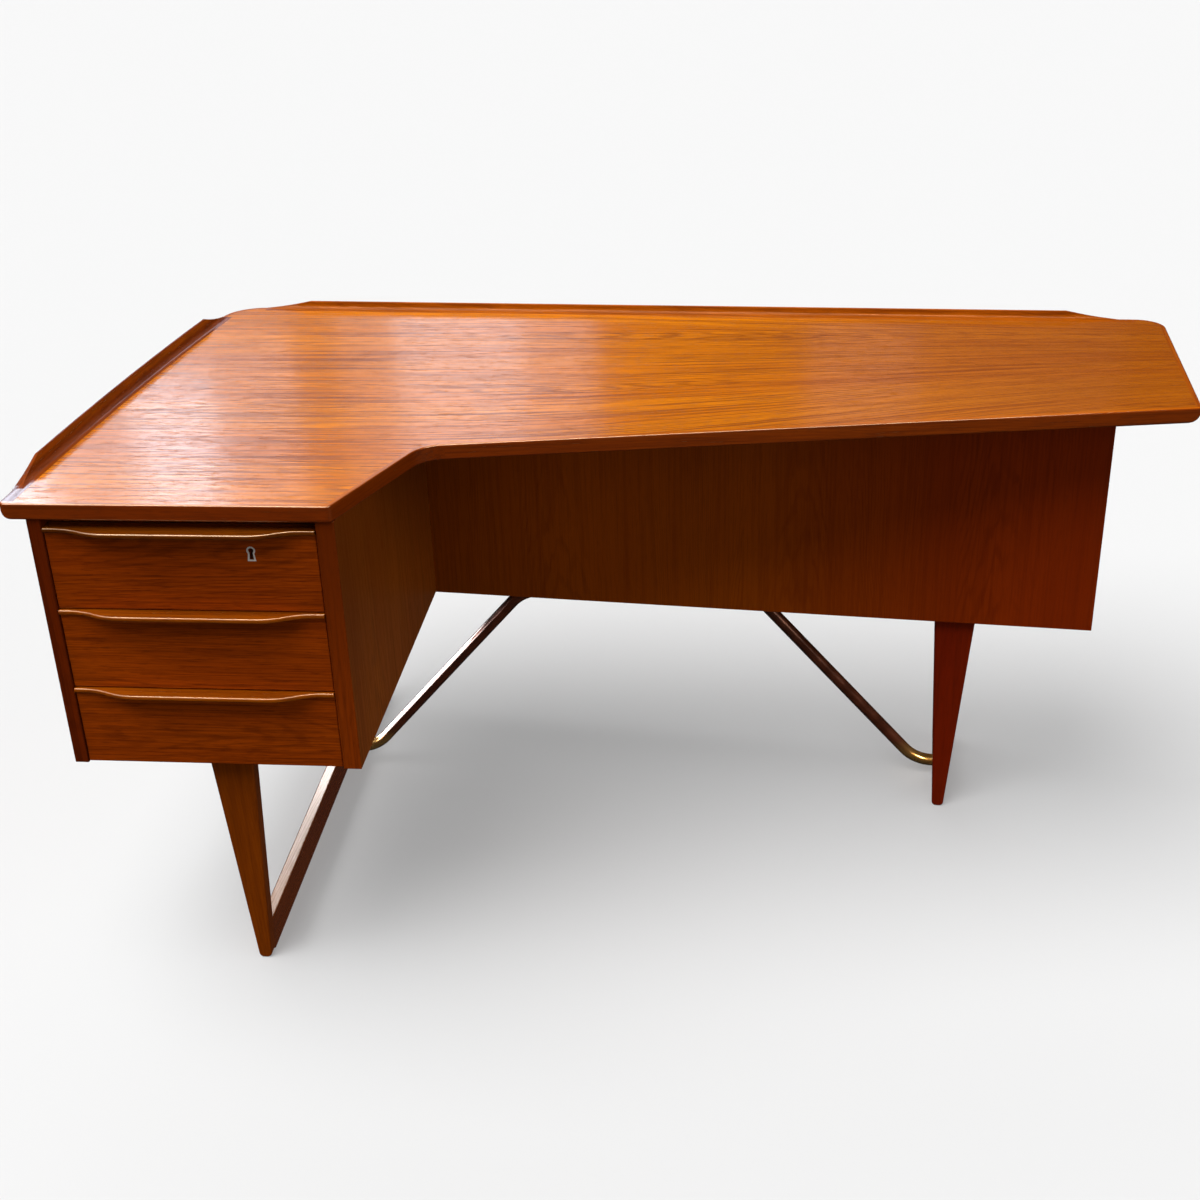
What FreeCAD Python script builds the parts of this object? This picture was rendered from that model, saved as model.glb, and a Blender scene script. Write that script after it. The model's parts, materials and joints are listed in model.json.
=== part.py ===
import FreeCAD, Part
import math
import os

# A writing desk with a boomerang-shaped teak top. A drawer pedestal stands under the left wing,
# a long cabinet behind the knee space is turned a little towards the sitter, and both are carried
# by two wooden sled frames joined by a bent brass tube.
# X runs along the drawer fronts, Y away from the sitter and Z up. While the pieces are drawn the
# origin is on the floor below the pedestal's front right corner. It is moved to the middle of the
# desk's box at the end.

Vec = FreeCAD.Vector
UP = Vec(0, 0, 1)

# Overall
desk_height = 740.0
top_thickness = 22.0
case_height = 366.0
panel_thickness = 19.0
edge_ease = 1.0
overrun = 5.0
tolerance = 0.001

# Top outline, from the front left corner round to the back left one
left_overhang = 32.0
front_overhang = 4.0
wing_inset = 3.0
wing_edge = 227.0
wing_lean = 19.6
end_overhang = 32.0
long_rise = 8.65
end_edge = 428.0
end_lean = 5.0
left_edge = 893.0
left_lean = 2.6
left_bow = 19.0
left_plain = 49.0
corner_round = 9.0
throat_round = 50.0
end_back_round = 42.0
back_left_round = 62.0

# Top edges and lips
edging_width = 8.0
arris = 2.5
under_round = 18.0
lip_width = 18.0
left_lip_height = 20.0
back_lip_height = 13.5
lip_tip = 4.0
lip_root = 4.0
lip_sink = 0.4
lip_stop = 2.0
lip_ramp = 80.0
ramp_sag_share = 0.4
back_lip_stop = 72.0

# Pedestal
pedestal_width = 403.0
knee_side = 25.0
pedestal_depth = 546.0
base_board = 12.0
toe = 2.0
drawer_recess = 12.0
rail_depth = 40.0
rail_gap = 0.5

# Drawers
drawer_names = ("top", "middle", "bottom")
drawer_gap = 1.5
side_gap = 1.0
front_setback = 2.0
front_board = 19.0
side_board = 13.0
back_board = 12.0
bottom_board = 5.0
drawer_back_gap = 70.0
box_rise = 14.0
box_drop = 18.0
bottom_rise = 5.0
bottom_groove = 4.0
back_drop = 6.0
slide_groove_height = 14.0
slide_groove_depth = 6.0
slide_clearance = 0.3
slide_lead = 3.0
slide_tail = 62.0

# Drawer pulls
pull_height = 7.0
pull_reach = 22.0
pull_end_reach = 5.0
pull_nose_round = 2.8
pull_end_share = 0.035
pull_curve_share = 0.21
pull_hollow_radius = 7.0
pull_hollow_depth = 2.5
pull_hollow_share = 0.46

# Locks
key_inset = 87.0
key_drop = 30.0
plate_head = 5.8
plate_foot = 5.6
plate_neck = 3.6
plate_drop = 14.6
plate_thickness = 1.5
plate_proud = 0.3
plate_rim = 1.7
plate_head_rim = 2.2
plate_foot_rim = 2.5
lock_width = 40.0
lock_height = 46.0
lock_depth = 10.0
lock_drop = 1.0
bolt_width = 12.0
bolt_thickness = 4.0
bolt_length = 20.0
bolt_travel = 9.0
bolt_clearance = 0.3
slot_clearance = 0.6

# Cabinet behind the knee space
cabinet_turn = 5.6
cabinet_reach = 1050.0
cabinet_depth = 262.0
cabinet_inset = 26.0

# Cabinet door
door_gap = 2.2
leaf_height = 50.0
leaf_width = 17.0
leaf_thickness = 1.0
knuckle_radius = 3.0
knuckle_gap = 0.3
pin_radius = 1.5
pin_clearance = 0.05
pin_cap = 1.0
hinge_inset = 45.0
leaf_screw_radius = 1.6
leaf_screw_length = 14.0
leaf_screw_spread = 28.0

# Sled frames
left_frame_inset = 192.0
right_frame_inset = 205.0
left_leg_setback = 28.0
right_leg_setback = 14.0
rear_setback = 18.0
foot_inward = 6.0
leg_top_width = 62.0
leg_thickness = 22.0
foot_width = 18.0
leg_round = 3.0
foot_round = 7.0
left_frame_turn = 0.9
runner_height = 50.0
frame_rail = 24.0
frame_screw_radius = 2.2
frame_screw_length = 31.0
screw_head_radius = 4.2
screw_head_height = 2.4
frame_screw_shares = (0.15, 0.85)

# Brass tube and its clips
tube_diameter = 20.0
tube_wall = 1.5
tube_back = 578.0
tube_middle = 334.0
tube_run = 386.0
tube_spread = 946.0
tube_foot = 28.0
tube_bend = 66.0
tube_entry = 10.0
clip_width = 16.0
clip_thickness = 1.5
clip_flange = 12.0
clip_clearance = 0.1
clip_share = 0.34
clip_screw_radius = 1.8
clip_screw_length = 11.0
clip_screw_head = 3.2
clip_screw_head_height = 1.8

# Levels and lines that follow from the sizes above
case_top = desk_height - top_thickness
case_bottom = case_top - case_height
long_edge = cabinet_reach + end_overhang
right_frame_reach = cabinet_reach - right_frame_inset
front_rear = front_setback + front_board
box_depth = pedestal_depth - front_rear - drawer_back_gap
far = 2 * (long_edge + left_edge)
nodes = {}


def block(x, y, z):
    """Upright box between three pairs of limits."""
    return Part.makeBox(x[1] - x[0], y[1] - y[0], z[1] - z[0], Vec(x[0], y[0], z[0]))


def heading(angle):
    """Level unit vector, with the angle counted from +X towards +Y."""
    return Vec(math.cos(math.radians(angle)), math.sin(math.radians(angle)), 0)


def half_space(point, angle):
    """Everything ahead of a vertical plane through the point, facing the heading."""
    cube = block((0, far), (-far, far), (-far, far))
    cube.rotate(Vec(0, 0, 0), UP, angle)
    cube.translate(point)
    return cube


def prism(points, travel):
    """Flat polygon pushed along a vector."""
    return Part.Face(Part.makePolygon(list(points) + [points[0]])).extrude(travel)


def eased(shape, chosen):
    """Take the sharpness off the edges whose middles are chosen."""
    return shape.makeFillet(edge_ease, [e for e in shape.Edges if chosen(e.CenterOfMass)])


def rod(radius, start, finish):
    """Round bar from one point to another."""
    return Part.makeCylinder(radius, (finish - start).Length, start, finish - start)


def in_cabinet(shape):
    """Move a shape from the cabinet's own axes, which start at the inner corner, to the desk's."""
    moved = shape.copy()
    moved.rotate(Vec(0, 0, 0), UP, -cabinet_turn)
    moved.translate(Vec(0, pedestal_depth, 0))
    return moved


def cabinet_point(x, y, z):
    """Point of the cabinet's own axes in the desk's axes."""
    along = heading(-cabinet_turn) * x
    across = heading(90 - cabinet_turn) * y
    return along + across + Vec(0, pedestal_depth, z)


def corner_arc(before, at, after, radius):
    """Start, middle and end of the arc that rounds a corner."""
    back = (before - at).normalize()
    ahead = (after - at).normalize()
    half = back.getAngle(ahead) / 2
    run = radius / math.tan(half)
    inward = (back + ahead).normalize()
    middle = at + inward * (radius / math.sin(half) - radius)
    return at + back * run, middle, at + ahead * run


def path_edges(points, radii):
    """Straight runs through the points with a tangent arc at each inner one."""
    edges = []
    last = points[0]
    for before, at, after, radius in zip(points, points[1:], points[2:], radii):
        if radius > 0:
            start, middle, end = corner_arc(before, at, after, radius)
            if (start - last).Length > tolerance:
                edges.append(Part.makeLine(last, start))
            edges.append(Part.Arc(start, middle, end).toShape())
            last = end
        else:
            edges.append(Part.makeLine(last, at))
            last = at
    return edges, last


def closed_outline(corners, radii):
    """Closed wire with rounded corners, started halfway along the side before the first corner."""
    start = (corners[-1] + corners[0]) / 2
    edges, last = path_edges([start] + list(corners) + [start], radii)
    edges.append(Part.makeLine(last, start))
    return Part.Wire(edges)


def along_side(section, start, finish):
    """Push a section, drawn with X inwards, along a side of the top from start to finish."""
    run = finish - start
    solid = section.extrude(Vec(0, -run.Length, 0))
    return turn_to_side(solid, start, finish)


def turn_to_side(solid, start, finish):
    """Turn a solid drawn with X inwards and -Y along the side onto that side of the top."""
    run = finish - start
    solid.rotate(Vec(0, 0, 0), UP, math.degrees(math.atan2(run.y, run.x)) + 90)
    solid.translate(Vec(start.x, start.y, 0))
    return solid


# Top

front_left = Vec(-pedestal_width - left_overhang, -front_overhang, 0)
front_right = Vec(-wing_inset, -front_overhang, 0)
throat = front_right + heading(90 - wing_lean) * wing_edge
end_front = throat + heading(long_rise) * long_edge
end_back = end_front + heading(90 - end_lean) * end_edge
back_left = front_left + heading(90 - left_lean) * left_edge
bow_reach = (left_edge - back_left_round + left_plain) / 2
bow_peak = front_left + heading(90 - left_lean) * bow_reach - heading(-left_lean) * left_bow
throat_turn = corner_arc(front_right, throat, end_front, throat_round)
end_turn = corner_arc(end_front, end_back, back_left, end_back_round)
back_turn = corner_arc(end_back, back_left, bow_peak, back_left_round)
bow_half = (back_left - bow_peak).getAngle(front_left - bow_peak) / 2
bow_round = (bow_peak - back_turn[2]).Length * math.tan(bow_half)
bow_turn = corner_arc(back_left, bow_peak, front_left, bow_round)
top_corners = (front_right, throat, end_front, end_back, back_left, bow_peak, front_left)
top_rounds = (corner_round, throat_round, corner_round, end_back_round, back_left_round, bow_round,
              corner_round)


def inset_outline(gap):
    """Outline of the top moved inwards all round."""
    corners = []
    radii = []
    count = len(top_corners)
    for i in range(count):
        at = top_corners[i]
        back = (top_corners[i - 1] - at).normalize()
        ahead = (top_corners[(i + 1) % count] - at).normalize()
        half = back.getAngle(ahead) / 2
        outward_corner = ahead.cross(back).z > 0
        side = 1 if outward_corner else -1
        corners.append(at + (back + ahead).normalize() * (side * gap / math.sin(half)))
        radii.append(max(top_rounds[i] - side * gap, 0))
    return closed_outline(corners, radii)


def round_corner(section, before, corner, after, radius):
    """Swing a section, drawn with X inwards, round an outward corner of the top."""
    start = corner_arc(before, corner, after, radius)[0]
    swing = math.degrees((corner - before).getAngle(after - corner))
    ring = section.revolve(Vec(radius, 0, 0), UP, swing)
    return turn_to_side(ring, start, start + corner - before)


def round_bow(section):
    """Swing a section along the bowed left side."""
    return round_corner(section, back_left, bow_peak, front_left, bow_round)


def under_cutter():
    """What the rounded underside leaves off along the end, back and left sides of the top."""
    low = case_top
    high = case_top + under_round
    sink = under_round * (1 - math.sqrt(0.5))
    curve = Part.Arc(Vec(under_round, 0, low), Vec(sink, 0, low + sink), Vec(0, 0, high)).toShape()
    outside = Part.makePolygon((Vec(0, 0, high), Vec(-overrun, 0, high), Vec(-overrun, 0, low - overrun),
                                Vec(under_round, 0, low - overrun), Vec(under_round, 0, low)))
    section = Part.Face(Part.Wire([curve] + outside.Edges))
    before_end = end_front - heading(90 - end_lean) * overrun
    past_left = front_left + (front_left - bow_peak).normalize() * overrun
    return [along_side(section, before_end, end_turn[0]),
            round_corner(section, end_front, end_back, back_left, end_back_round),
            along_side(section, end_turn[2], back_turn[0]),
            round_corner(section, end_back, back_left, bow_peak, back_left_round),
            round_bow(section),
            along_side(section, bow_turn[2], past_left)]


def lip_section(height):
    """Section of a raised lip: a rounded tip outside and a cove that runs down into the writing surface."""
    shoulder = desk_height + height - lip_tip / 2
    low = desk_height - lip_sink
    root = desk_height - lip_root
    foot = Vec(lip_width, 0, low)
    inside = Vec(lip_tip, 0, shoulder)
    crown = Vec(lip_tip / 2, 0, desk_height + height)
    tip = Part.Arc(Vec(0, 0, shoulder), crown, inside).toShape()
    cove = Part.BezierCurve()
    cove.setPoles([inside, Vec(lip_tip, 0, low), foot])
    base = Part.makePolygon((foot, Vec(lip_width, 0, root), Vec(0, 0, root), Vec(0, 0, shoulder)))
    return Part.Face(Part.Wire([tip, cove.toShape()] + base.Edges))


def run_out(lip, height, at, toward):
    """Let a lip fall to the writing surface in a ramp, with its low end at a point."""
    level = desk_height
    crown = desk_height + height
    reach = lip_width + overrun
    low_end = Vec(-reach, -lip_stop, level)
    high_end = Vec(-reach, -lip_stop - lip_ramp, crown)
    sag = (low_end + high_end) / 2
    sag.z = level + height * ramp_sag_share
    slope = Part.Arc(low_end, sag, high_end).toShape()
    above = Part.makePolygon((high_end, high_end + UP * overrun, Vec(-reach, overrun, crown + overrun),
                              Vec(-reach, overrun, level), low_end))
    wedge = Part.Face(Part.Wire([slope] + above.Edges)).extrude(Vec(2 * reach, 0, 0))
    return lip.cut(turn_to_side(wedge, at, toward))


def zone_section():
    """Section through the whole top, as wide as a lip."""
    low = case_top - overrun
    high = desk_height + overrun
    corners = (Vec(-overrun, 0, low), Vec(lip_width, 0, low), Vec(lip_width, 0, high), Vec(-overrun, 0, high))
    return Part.Face(Part.makePolygon(corners + corners[:1]))


def level_edges(shape, height):
    """Edges that lie flat at one height."""
    return [e for e in shape.Edges if all(abs(v.Z - height) < tolerance for v in e.Vertexes)]


def make_top():
    slab = Part.Face(closed_outline(top_corners, top_rounds)).extrude(UP * top_thickness)
    slab.translate(UP * case_top)
    slab = slab.makeFillet(arris, level_edges(slab, desk_height) + level_edges(slab, case_top))
    for piece in under_cutter():
        slab = slab.cut(piece)
    core = Part.Face(inset_outline(edging_width)).extrude(UP * (top_thickness + 2 * overrun))
    core.translate(UP * (case_top - overrun))
    front_zone = block((-far, far), (-far, front_left.y + edging_width), (-far, far))
    left_zone = round_bow(zone_section()).fuse(along_side(zone_section(), bow_turn[2], front_left))
    left_zone = left_zone.cut(front_zone)
    back_zone = along_side(zone_section(), end_turn[2], back_turn[0])
    nodes["top_panel"] = slab.common(core).cut(left_zone).cut(back_zone)
    ring = slab.cut(core).cut(left_zone).cut(back_zone)
    chain, corner = sorted(ring.Solids, key=lambda solid: solid.Volume, reverse=True)[:2]
    nodes["corner_edging"] = corner
    past_front = half_space(front_right, (90 - wing_lean) / 2)
    past_throat = half_space(throat_turn[2], long_rise)
    past_long = half_space(end_front, (long_rise + 90 - end_lean) / 2)
    nodes["front_edging"] = chain.cut(past_front)
    nodes["wing_edging"] = chain.common(past_front).cut(past_throat)
    nodes["long_edging"] = chain.common(past_throat).cut(past_long)
    nodes["end_edging"] = chain.common(past_long)
    left = round_bow(lip_section(left_lip_height))
    for at in (bow_turn[0], bow_turn[2]):
        left = run_out(left, left_lip_height, at, bow_peak)
    back_start = end_back + (back_left - end_back).normalize() * back_lip_stop
    back = along_side(lip_section(back_lip_height), back_start, back_turn[0])
    for at, toward in ((back_start, back_left), (back_turn[0], end_back)):
        back = run_out(back, back_lip_height, at, toward)
    nodes["left_lip"] = slab.common(left_zone).fuse(left).removeSplitter()
    nodes["back_lip"] = slab.common(back_zone).fuse(back).removeSplitter()


# Pedestal and drawers

side_left = (-pedestal_width, panel_thickness - pedestal_width)
side_right = (-knee_side, 0)
drawer_left = side_left[1] + side_gap
drawer_right = side_right[0] - side_gap
stack_top = case_top - drawer_recess
front_height = (stack_top - case_bottom - toe - (len(drawer_names) - 1) * drawer_gap) / len(drawer_names)
key_x = drawer_right - key_inset
key_z = stack_top - key_drop
behind_cabinet_face = half_space(Vec(0, pedestal_depth, 0), 90 - cabinet_turn)


def keyhole(head, neck, foot, drop, depth):
    """Keyhole shape, with its round head at the origin, pushed along +Y."""
    bow = Part.makeCylinder(head, depth, Vec(0, 0, 0), Vec(0, 1, 0))
    skirt = (Vec(-neck, 0, 0), Vec(-foot, 0, -drop), Vec(foot, 0, -drop), Vec(neck, 0, 0))
    return bow.fuse(prism(skirt, Vec(0, depth, 0))).removeSplitter()


def keyhole_plate():
    """Plate outline and the hole through it, both with the front of the plate at Y = 0."""
    plate = keyhole(plate_head, plate_neck, plate_foot, plate_drop, plate_thickness)
    hole = keyhole(plate_head - plate_head_rim, plate_neck - plate_rim, plate_foot - plate_foot_rim,
                   plate_drop - plate_rim, front_board + 2 * plate_thickness)
    return plate, hole


def lock_parts():
    """Lock case on the back of a board and its bolt, with the bolt moving along +Z.

    The keyhole's head is at the origin, the board's back is at Y = 0 and the top of the case is
    lock_drop below the board's edge."""
    top = key_drop - lock_drop
    half_width = lock_width / 2
    case = block((-half_width, half_width), (0, lock_depth), (top - lock_height, top))
    wall = (lock_depth - bolt_thickness) / 2
    bolt = block((-bolt_width / 2, bolt_width / 2), (wall, wall + bolt_thickness), (top - bolt_length, top))
    room = block((-bolt_width / 2 - bolt_clearance, bolt_width / 2 + bolt_clearance),
                 (wall - bolt_clearance, wall + bolt_thickness + bolt_clearance),
                 (top - bolt_length - bolt_clearance, top + overrun))
    return case.cut(room), bolt


def slot_for(bolt, travel):
    """Room that a bolt needs at the end of its travel."""
    box = bolt.BoundBox
    ease = slot_clearance
    return block((box.XMin - ease, box.XMax + ease), (box.YMin - ease, box.YMax + ease),
                 (box.ZMin, box.ZMax + travel + ease))


def s_curve(start, finish):
    """Two tangent arcs that leave and arrive along X."""
    step = finish - start
    middle = (start + finish) / 2
    radius = (step.x ** 2 + step.y ** 2) / (4 * abs(step.y))
    sign = math.copysign(1, step.y)
    swing = math.asin(step.x / 2 / radius) / 2
    reach = Vec(radius * math.sin(swing), sign * radius * (1 - math.cos(swing)), 0)
    leaving = Part.Arc(start, start + reach, middle)
    arriving = Part.Arc(middle, finish - reach, finish)
    return [leaving.toShape(), arriving.toShape()]


def drawer_pull(top):
    """Full-width lip: shallow at the ends, swelling forward over the middle of the drawer."""
    low = top - pull_height
    width = drawer_right - drawer_left
    end_y = front_setback - pull_end_reach
    nose_y = front_setback - pull_reach
    stops = [drawer_left + width * share for share in (pull_end_share, pull_end_share + pull_curve_share)]
    stops += [drawer_left + drawer_right - x for x in reversed(stops)]
    ends = (Vec(drawer_left, end_y, low), Vec(drawer_right, end_y, low))
    knots = [Vec(x, y, low) for x, y in zip(stops, (end_y, nose_y, nose_y, end_y))]
    front = [Part.makeLine(ends[0], knots[0])] + s_curve(knots[0], knots[1])
    front += [Part.makeLine(knots[1], knots[2])] + s_curve(knots[2], knots[3])
    front.append(Part.makeLine(knots[3], ends[1]))
    rear = (Vec(drawer_right, front_rear, low), Vec(drawer_left, front_rear, low))
    back = Part.makePolygon((ends[1], rear[0], rear[1], ends[0]))
    pull = Part.Face(Part.Wire(front + back.Edges)).extrude(UP * pull_height)
    ahead = [e for e in level_edges(pull, top) + level_edges(pull, low)
             if max(v.Y for v in e.Vertexes) < front_setback]
    pull = pull.makeFillet(pull_nose_round, ahead)
    half = width * pull_hollow_share / 2
    hollow = low - pull_hollow_radius + pull_hollow_depth
    centre = Vec((drawer_left + drawer_right) / 2, front_setback - pull_reach / 2, hollow)
    return pull.cut(rod(pull_hollow_radius, centre - Vec(half, 0, 0), centre + Vec(half, 0, 0)))


def make_drawer(index):
    name = drawer_names[index]
    top = stack_top - index * (front_height + drawer_gap)
    low = top - front_height
    box_low = low + box_rise
    box_high = top - box_drop
    box_rear = front_rear + box_depth
    floor = box_low + bottom_rise
    left = (drawer_left, drawer_left + side_board)
    right = (drawer_right - side_board, drawer_right)
    base = block((left[1] - bottom_groove, right[0] + bottom_groove), (front_rear, box_rear),
                 (floor, floor + bottom_board))
    groove_mid = (box_low + box_high) / 2
    groove = (groove_mid - slide_groove_height / 2, groove_mid + slide_groove_height / 2)
    tongue = (groove[0] + slide_clearance, groove[1] - slide_clearance)
    slide = (front_rear + slide_lead, pedestal_depth - slide_tail)
    bite = side_gap + slide_groove_depth
    length = (front_rear, box_rear)
    strips = []
    for key, board, outer, inner in (("left", left, side_left[1], 1), ("right", right, side_right[0], -1)):
        reach = sorted((outer, outer + inner * bite))
        wood = block(board, length, (box_low, box_high)).cut(base)
        nodes[f"{name}_drawer_side_{key}"] = wood.cut(block(reach, length, groove))
        strips.append(block(sorted((outer, outer + inner * (bite - slide_clearance))), slide, tongue))
    board = block((drawer_left, drawer_right), (front_setback, front_rear), (low, top - pull_height))
    nodes[f"{name}_drawer_front"] = eased(board, lambda at: at.y < front_setback + tolerance
                                          and at.z < top - pull_height - tolerance)
    nodes[f"{name}_drawer_pull"] = drawer_pull(top)
    nodes[f"{name}_drawer_back"] = block((left[1], right[0]), (box_rear - back_board, box_rear),
                                         (floor + bottom_board, box_high - back_drop))
    nodes[f"{name}_drawer_bottom"] = base
    return strips


def make_drawer_lock():
    plate, hole = keyhole_plate()
    case, bolt = lock_parts()
    for shape in (plate, hole):
        shape.translate(Vec(key_x, front_setback - plate_proud, key_z))
    for shape in (case, bolt):
        shape.translate(Vec(key_x, front_rear, key_z))
    nodes["drawer_keyhole_plate"] = plate.cut(hole)
    nodes["top_drawer_front"] = nodes["top_drawer_front"].cut(plate).cut(hole)
    nodes["drawer_lock_case"] = case.cut(hole)
    nodes["drawer_lock_bolt"] = bolt
    nodes["lock_rail"] = nodes["lock_rail"].cut(slot_for(bolt, far))


def make_pedestal():
    height = (case_bottom, case_top)
    between = (side_left[1], side_right[0])
    for name, side in (("pedestal_side_left", side_left), ("pedestal_side_right", side_right)):
        board = block(side, (0, far), height).cut(behind_cabinet_face)
        nodes[name] = eased(board, lambda at: at.y < tolerance and at.z < case_top - tolerance)
    base = block(between, (front_rear + rail_gap, far), (case_bottom, case_bottom + base_board))
    nodes["pedestal_bottom"] = base.cut(behind_cabinet_face)
    across = (front_rear + rail_gap, front_rear + rail_depth)
    nodes["lock_rail"] = block(between, across, (stack_top + rail_gap, case_top))
    strips = []
    for index in range(len(drawer_names)):
        strips += make_drawer(index)
    nodes["drawer_slides"] = Part.makeCompound(strips)
    make_drawer_lock()


# Cabinet, drawn in its own axes: X along its front, Y through its depth

cabinet_left = cabinet_inset - pedestal_width / math.cos(math.radians(cabinet_turn))
inner_span = (cabinet_left + panel_thickness, cabinet_reach - panel_thickness)
bay = (inner_span[1] - inner_span[0] - 2 * panel_thickness) / 3
divider_starts = (inner_span[0] + bay, inner_span[0] + 2 * bay + panel_thickness)
cabinet_floor = case_bottom + panel_thickness
depth_inside = (panel_thickness, cabinet_depth)
door_x = (inner_span[0] + door_gap, divider_starts[0] - door_gap)
door_y = (cabinet_depth - panel_thickness, cabinet_depth)
door_z = (cabinet_floor + door_gap, case_top - door_gap)
hinge_line = (inner_span[0] + door_gap / 2, cabinet_depth + knuckle_radius)


def make_cabinet():
    height = (case_bottom, case_top)
    start = cabinet_left - cabinet_inset
    pieces = {
        "cabinet_front": eased(block((start, cabinet_reach), (0, panel_thickness), height),
                               lambda at: at.x > cabinet_reach - tolerance and at.y < tolerance),
        "cabinet_end_left": block((cabinet_left, inner_span[0]), depth_inside, height),
        "cabinet_end_right": block((inner_span[1], cabinet_reach), depth_inside, height),
        "cabinet_bottom": block(inner_span, depth_inside, (case_bottom, cabinet_floor)),
    }
    for name, x in zip(("divider_door_side", "divider_book_side"), divider_starts):
        pieces[name] = block((x, x + panel_thickness), depth_inside, (cabinet_floor, case_top))
    pieces.update(door_pieces(pieces))
    for name, shape in pieces.items():
        nodes[name] = in_cabinet(shape)


def door_pieces(cabinet):
    """Door with its lock, and the two hinges with their screws."""
    plate, hole = keyhole_plate()
    case, bolt = lock_parts()
    key_at = Vec(door_x[1] - key_drop, door_y[1], (door_z[0] + door_z[1]) / 2)
    for shape in (plate, hole):
        shape.rotate(Vec(0, 0, 0), UP, 180)
        shape.translate(key_at + Vec(0, plate_proud, 0))
    for shape in (case, bolt):
        shape.rotate(Vec(0, 0, 0), Vec(0, 1, 0), 90)
        shape.rotate(Vec(0, 0, 0), Vec(1, 0, 0), 180)
        shape.translate(key_at - Vec(0, panel_thickness, 0))
    door = block(door_x, door_y, door_z).cut(plate).cut(hole)
    box = bolt.BoundBox
    ease = slot_clearance
    mortise = block((box.XMax, box.XMax + bolt_travel + ease), (box.YMin - ease, box.YMax + ease),
                    (box.ZMin - ease, box.ZMax + ease))
    cabinet["divider_door_side"] = cabinet["divider_door_side"].cut(mortise)
    made = {"door_keyhole_plate": plate.cut(hole), "door_lock_case": case.cut(hole), "door_lock_bolt": bolt}
    groups = {"hinge_leaves_case": [], "hinge_leaves_door": [], "hinge_pins": [],
              "hinge_screws_case": [], "hinge_screws_door": []}
    for middle in (door_z[0] + hinge_inset, door_z[1] - hinge_inset):
        add_hinge(middle, groups)
    for screw in groups["hinge_screws_case"]:
        cabinet["cabinet_end_left"] = cabinet["cabinet_end_left"].cut(screw)
    for screw in groups["hinge_screws_door"]:
        door = door.cut(screw)
    made["door_panel"] = door
    made.update({name: Part.makeCompound(solids) for name, solids in groups.items()})
    return made


def add_hinge(middle, groups):
    """One butt hinge: a leaf with two knuckles on the case, one with a single knuckle on the door."""
    axis = Vec(hinge_line[0], hinge_line[1], 0)
    low = middle - leaf_height / 2
    third = leaf_height / 3
    cuts = (low, low + third, low + 2 * third, low + leaf_height)
    leaf_y = (cabinet_depth - leaf_width, hinge_line[1])
    leaf_z = (low, low + leaf_height)
    case_leaf = block((inner_span[0], inner_span[0] + leaf_thickness), leaf_y, leaf_z)
    door_leaf = block((door_x[0] - leaf_thickness, door_x[0]), leaf_y, leaf_z)
    barrel = {}
    for i in range(3):
        ease = knuckle_gap / 2
        ends = (cuts[i] + (ease if i > 0 else 0), cuts[i + 1] - (ease if i < 2 else 0))
        barrel[i] = rod(knuckle_radius, axis + UP * ends[0], axis + UP * ends[1])
    for i, leaf_cut in ((0, 2), (1, 1), (2, 2)):
        clear = rod(knuckle_radius + knuckle_gap, axis + UP * cuts[i], axis + UP * cuts[i + 1])
        if leaf_cut == 2:
            door_leaf = door_leaf.cut(clear)
        else:
            case_leaf = case_leaf.cut(clear)
    case_leaf = case_leaf.fuse(barrel[0]).fuse(barrel[2])
    door_leaf = door_leaf.fuse(barrel[1])
    pin = rod(pin_radius, axis + UP * (low - pin_cap), axis + UP * (low + leaf_height + pin_cap))
    running = rod(pin_radius + pin_clearance, axis + UP * cuts[1], axis + UP * cuts[2])
    case_leaf = case_leaf.cut(pin)
    door_leaf = door_leaf.cut(running)
    screw_y = cabinet_depth - leaf_width / 2
    for offset in (-leaf_screw_spread / 2, leaf_screw_spread / 2):
        at = Vec(0, screw_y, middle + offset)
        into_case = rod(leaf_screw_radius, at + Vec(inner_span[0] + leaf_thickness, 0, 0),
                        at + Vec(inner_span[0] + leaf_thickness - leaf_screw_length, 0, 0))
        into_door = rod(leaf_screw_radius, at + Vec(door_x[0] - leaf_thickness, 0, 0),
                        at + Vec(door_x[0] - leaf_thickness + leaf_screw_length, 0, 0))
        case_leaf = case_leaf.cut(into_case)
        door_leaf = door_leaf.cut(into_door)
        groups["hinge_screws_case"].append(into_case)
        groups["hinge_screws_door"].append(into_door)
    groups["hinge_leaves_case"].append(case_leaf)
    groups["hinge_leaves_door"].append(door_leaf)
    groups["hinge_pins"].append(pin)


# Sled frames, tube and fasteners

def tapered_leg(front, outside, lean):
    """Blade leg under X = 0, narrowing to a foot that is set over by the lean, rounded on its outside."""
    half_top = leg_top_width / 2
    half_foot = foot_width / 2
    outline = (Vec(lean - half_foot, front, 0), Vec(lean + half_foot, front, 0),
               Vec(half_top, front, case_bottom), Vec(-half_top, front, case_bottom))
    leg = prism(outline, Vec(0, leg_thickness, 0))
    sole = [e for e in level_edges(leg, 0) if abs(e.CenterOfMass.x - lean) > half_foot - tolerance]
    leg = leg.makeFillet(foot_round, sole)
    sharp = [e for e in leg.Edges if 0 < e.CenterOfMass.z < case_bottom
             and abs(e.CenterOfMass.y - outside) < tolerance]
    return leg.makeFillet(leg_round, sharp)


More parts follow.
